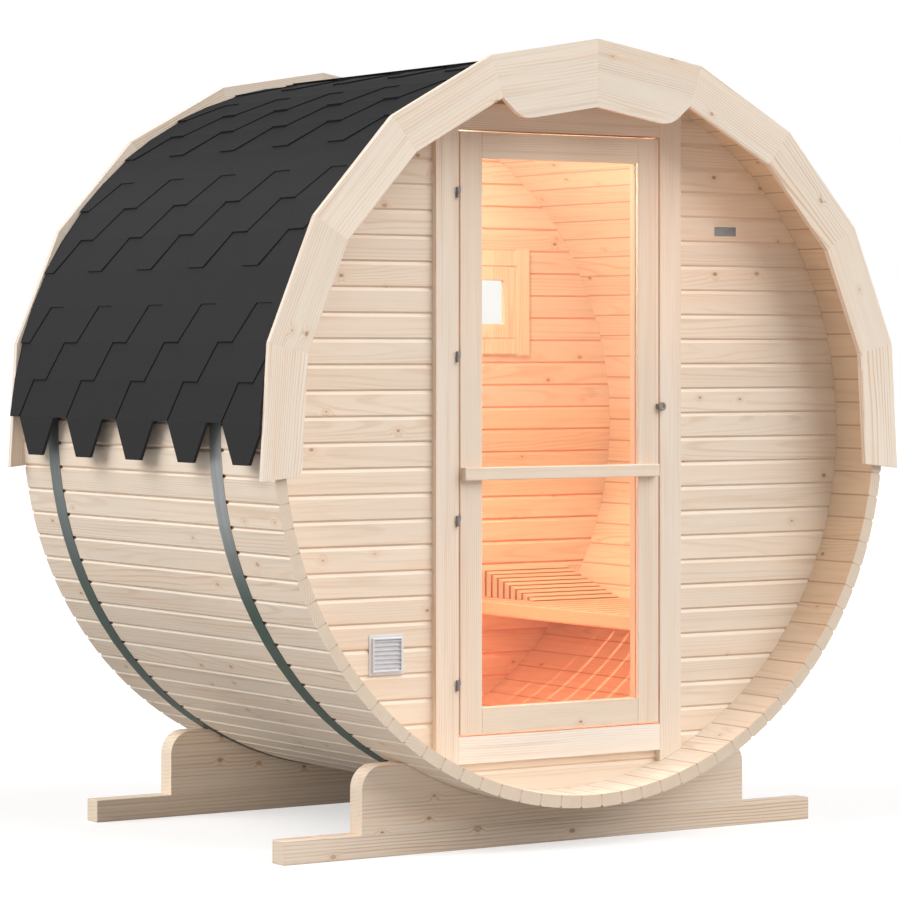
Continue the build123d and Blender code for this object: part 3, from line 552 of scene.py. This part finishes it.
# Fascia rings
# Wide boards mitred round both ends of the barrel, nailed to the end grain of the staves.
# The grain runs along each board, and both rings have boards of their own.
fascia_angle = math.radians(19.24)
fascia_middle_radius = 0.86
fascia_seed = 500.0
rear_ring_seed = 40.0
fascia_wood, tree, shader = new_material("fascia_spruce")
coordinates = tree.nodes.new("ShaderNodeTexCoord").outputs
sectors = group_node(tree, round_boards, {
    "Place": coordinates["Object"], "Axis height": axis_height, "Board angle": fascia_angle, "Phase": 0.0,
})
fascia_face = -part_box("front_fascia_upper_boards")[0].y
from_fascia_middle = minus(tree, sectors["Out"], fascia_middle_radius)
behind_face = minus(tree, maths(tree, "ABSOLUTE", sectors["Lengthways"]), fascia_face)
on_rear_ring = maths(tree, "GREATER_THAN", sectors["Lengthways"], 0.0)
board_number = plus(tree, sectors["Board"], times(tree, on_rear_ring, rear_ring_seed))
finish_spruce(
    tree, shader, joined(tree, sectors["Sideways"], from_fascia_middle, behind_face),
    plus(tree, board_number, fascia_seed), end_share(tree, coordinates["Normal"], sectors["Side axis"]),
    figure=0.66, ring_gap=0.0056, ring_wander=0.024, knot_share=0.30, pale=(0.85, 0.745, 0.63, 1.0),
)
fascia_boards = [name for name in nodes if "_fascia_" in name]
dress(fascia_wood, *fascia_boards)
ease_edges(0.0014, *fascia_boards)


# Roof shingles
# Bitumen felt with a fine mineral face, cut into tabs and lapped up the round.
# It is painted darker toward the ridge and over the cap, as painted shade.
fresh_felt = (0.026, 0.026, 0.027, 1.0)
bright_grit = (0.042, 0.042, 0.045, 1.0)
cloudy_felt = (0.034, 0.034, 0.036, 1.0)
ridge_shade_felt = (0.012, 0.012, 0.013, 1.0)
felt, tree, shader = new_material("shingle_felt")
place = tree.nodes.new("ShaderNodeTexCoord").outputs["Object"]
grit = noise(tree, place, 900.0)
cloud = noise(tree, place, 5.0, 3.0)
felt_colour = mix_colours(tree, ramp(tree, grit, 0.3, 0.7), fresh_felt, bright_grit)
felt_colour = mix_colours(tree, ramp(tree, cloud, 0.3, 0.7, 0.0, 0.4), felt_colour, cloudy_felt)
# Painted shade toward the ridge.
ridge_shade = ramp(tree, split(tree, place)[2], 1.70, 2.08, 0.0, 0.75)
tree.links.new(mix_colours(tree, ridge_shade, felt_colour, ridge_shade_felt), shader.inputs["Base Color"])
shader.inputs["Roughness"].default_value = 0.88
shader.inputs["Specular IOR Level"].default_value = 0.06
bump = new_node(tree, "ShaderNodeBump", {"Strength": 0.5, "Distance": 0.0006, "Height": grit})
tree.links.new(bump.outputs[0], shader.inputs["Normal"])
dress(felt, "roof_shingles_left", "roof_shingles_right", "ridge_cap")


# Cradles
# Two level beams under the barrel, each with a saddle board hollowed to the round.
# Both are rough timber with a coarser grain than the boards above.
for number, end in enumerate(("front", "rear")):
    beam = f"{end}_cradle_beam"
    saddle = f"{end}_cradle_saddle"
    beam_wood = row_spruce(
        f"{end}_beam_spruce", "X", "Z", seed=600.0 + number, through_from=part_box(beam)[0].y,
        figure=0.95, ring_gap=0.0075, knot_size=0.055,
    )
    saddle_wood = row_spruce(
        f"{end}_saddle_spruce", "X", "Z", seed=610.0 + number, through_from=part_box(saddle)[0].y,
        figure=0.95, ring_gap=0.0085, knot_size=0.05,
    )
    dress(beam_wood, beam)
    dress(saddle_wood, saddle)
    ease_edges(0.002, beam, saddle)


# Rear window, floor, benches and headrests
# Inside: duckboards on bearers, slatted benches along both sides, and headrests at the back.
# The benches have warmed in the heat, and the sides of their slats and headrest boards carry painted shade.
bench_pale = (0.72, 0.57, 0.43, 1.0)
slats_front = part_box("right_bench_slats")[0].y - 0.006
window_wood = row_spruce(
    "window_spruce", "Z", "X", pitch=0.12, first_seam=0.4, seed=700.0, through_from=rear_wall_face,
    knot_share=0.0, pale=(0.88, 0.77, 0.63, 1.0),
)
floor_wood = row_spruce("floor_spruce", "Y", "X", pitch=0.103, first_seam=-0.3605, seed=710.0)
bearer_wood = row_spruce("bearer_spruce", "X", "Y", pitch=0.5, seed=720.0)
slat_wood = row_spruce(
    "slat_spruce", "X", "Y", pitch=0.07, first_seam=slats_front, seed=730.0, side_shade=0.6,
    knot_share=0.05, pale=bench_pale,
)
bench_frame_wood = row_spruce("bench_frame_spruce", "Y", "X", pitch=0.1, seed=750.0, pale=bench_pale)
headrest_wood = row_spruce(
    "headrest_spruce", "X", "Y", pitch=0.0319, first_seam=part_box("right_headrest")[0].y, seed=760.0,
    side_shade=0.75, knot_share=0.0, pale=bench_pale,
)
dress(window_wood, "window_sash", "window_trim")
dress(floor_wood, "floor_boards")
dress(bearer_wood, "floor_bearers")
dress(slat_wood, "left_bench_slats", "right_bench_slats")
dress(bench_frame_wood, "bench_frames")
dress(headrest_wood, "left_headrest", "right_headrest")
ease_edges(0.003, "window_sash", "window_trim")
ease_edges(0.0015, "floor_boards", "left_bench_slats", "right_bench_slats",
           "bench_frames", "left_headrest", "right_headrest")


# Studio
# A pale floor and soft light from above on both sides, with the warm lamps of the cabin
# behind the glass and behind the gaps round the door.
def lamp(name, kind, energy, colour, place, aim, **settings):
    """A lamp that shines from a place toward an aim, and isn't seen itself."""
    data = bpy.data.lights.new(name, kind)
    data.energy = energy
    data.color = colour
    for key, value in settings.items():
        setattr(data, key, value)
    made = bpy.data.objects.new(name, data)
    made.location = place
    made.rotation_euler = (Vector(aim) - Vector(place)).to_track_quat("-Z", "Y").to_euler()
    made.visible_camera = False
    made.visible_transmission = False
    bpy.context.scene.collection.objects.link(made)
    return made


lamp("front_lamp", "SUN", 2.47, (1.0, 0.985, 0.97), (4.0, -6.0, 6.6), (0, 0, 0), angle=math.radians(58))
lamp("left_lamp", "SUN", 2.5, (1.0, 0.99, 0.98), (-7.5, 2.5, 6.0), (0, 0, 0), angle=math.radians(55))

bench_middle = sum(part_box("right_bench_slats"), Vector()) / 2
lamp("cabin_lamp", "POINT", 11.0, (1.0, 0.94, 0.73), (0.0, 0.0, 1.80), (0.0, 0.0, 0.0), shadow_soft_size=0.02)
lamp("bench_lamp", "SPOT", 66.0, (1.0, 0.44, 0.28), (0.0, 0.0, 1.93), bench_middle,
     shadow_soft_size=0.007, spot_size=math.radians(56), spot_blend=0.5)
lamp("cabin_side_lamp", "AREA", 2.4, (1.0, 0.33, 0.18), (-0.25, -0.1, 0.75), (0.6, -0.1, 0.5),
     shape="SQUARE", size=0.3)
lamp("cabin_low_lamp", "POINT", 5.0, (1.0, 0.20, 0.09), (0.0, 0.15, 0.36), (0.0, 0.0, 0.0),
     shadow_soft_size=0.08)

gap_orange = (1.0, 0.42, 0.24)
gap_lamp_width = 0.012
gap_middle = 0.0025
gap_back = frame_face + 0.056
leaf_low, leaf_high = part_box("door_stiles")
leaf_middle = (leaf_low + leaf_high) / 2
leaf_size = leaf_high - leaf_low
for side, x, strength in (("left", leaf_low.x - gap_middle, 0.7), ("right", leaf_high.x + gap_middle, 0.7)):
    strip = lamp(f"gap_lamp_{side}", "AREA", strength, gap_orange, (x, gap_back, leaf_middle.z),
                 (x, gap_back - 1.0, leaf_middle.z), shape="RECTANGLE", size=gap_lamp_width)
    strip.data.size_y = leaf_size.z
for side, z, strength in (("low", leaf_low.z - gap_middle, 0.30), ("high", leaf_high.z + gap_middle, 0.006)):
    strip = lamp(f"gap_lamp_{side}", "AREA", strength, gap_orange, (leaf_middle.x, gap_back, z),
                 (leaf_middle.x, gap_back - 1.0, z), shape="RECTANGLE", size=leaf_size.x)
    strip.data.size_y = gap_lamp_width

glow_height = 1.1
glow = lamp("door_glow", "AREA", 5.0, (1.0, 0.50, 0.27), (leaf_middle.x, frame_face - 0.03, glow_height),
            (leaf_middle.x, frame_face - 1.0, glow_height), shape="RECTANGLE", size=0.5)
glow.data.size_y = 1.4
glow.visible_glossy = False

porch_orange = (1.0, 0.42, 0.10)
porch_glow_out = 0.13
for side, x, z, strength, width in (("right", 0.25, 1.60, 0.26, 0.9), ("left", -0.40, 0.55, 0.04, 0.3)):
    porch = lamp(f"porch_glow_{side}", "AREA", strength, porch_orange,
                 (x, front_wall_face - porch_glow_out, z), (x, front_wall_face, z),
                 shape="RECTANGLE", size=width)
    porch.data.size_y = 0.5
    porch.visible_glossy = False
lamp("rear_cradle_lamp", "SPOT", 80.0, (1.0, 0.97, 0.92), (-3.0, -0.6, 0.12), (-0.45, 0.45, 0.11),
     shadow_soft_size=0.2, spot_size=math.radians(13), spot_blend=0.5)

floor_size = 60.0
floor_mesh = bpy.data.meshes.new("studio_floor")
corners = [(x * floor_size, y * floor_size, 0.0) for x, y in ((-1, -1), (1, -1), (1, 1), (-1, 1))]
floor_mesh.from_pydata(corners, [], [(0, 1, 2, 3)])
floor = bpy.data.objects.new("studio_floor", floor_mesh)
bpy.context.scene.collection.objects.link(floor)
lit_grey = (0.40, 0.40, 0.40, 1.0)
seen_grey = (0.5, 0.5, 0.5, 1.0)
floor_paint, tree, shader = new_material("studio_floor_paint")
shader.inputs["Roughness"].default_value = 0.9
shader.inputs["Specular IOR Level"].default_value = 0.0
shader.inputs["Emission Color"].default_value = (1.0, 1.0, 1.0, 1.0)
rays = tree.nodes.new("ShaderNodeLightPath").outputs
tree.links.new(mix_colours(tree, rays["Is Camera Ray"], lit_grey, seen_grey), shader.inputs["Base Color"])
tree.links.new(times(tree, rays["Is Camera Ray"], 0.55), shader.inputs["Emission Strength"])
floor_mesh.materials.append(floor_paint)

ambient = 0.36
world = bpy.data.worlds.new("studio")
bpy.context.scene.world = world
world.use_nodes = True
tree = world.node_tree
rays = tree.nodes.new("ShaderNodeLightPath").outputs
seen = maths(tree, "MAXIMUM", rays["Is Camera Ray"], rays["Is Glossy Ray"])
seen = maths(tree, "MAXIMUM", seen, rays["Is Transmission Ray"])
background = tree.nodes["Background"]
background.inputs["Color"].default_value = (1.0, 1.0, 1.0, 1.0)
tree.links.new(ramp(tree, seen, 0.0, 1.0, ambient, 1.0), background.inputs["Strength"])


# Camera
# Level, with a long lens, at chest height off the door's hinge side.
# The lens is shifted so that the upright edges stay upright.
camera_data = bpy.data.cameras.new("camera")
camera_data.sensor_width = 36.0
camera_data.lens = 143.92
camera_data.shift_x = 0.0818
camera_data.shift_y = -0.1087
camera_data.clip_end = 200.0
camera = bpy.data.objects.new("camera", camera_data)
camera.location = (-5.6593, -8.4450, 1.3219)
camera.rotation_euler = (math.radians(90), 0.0, -math.radians(32.634))
bpy.context.scene.collection.objects.link(camera)
bpy.context.scene.camera = camera
bpy.context.scene.view_settings.view_transform = "Standard"
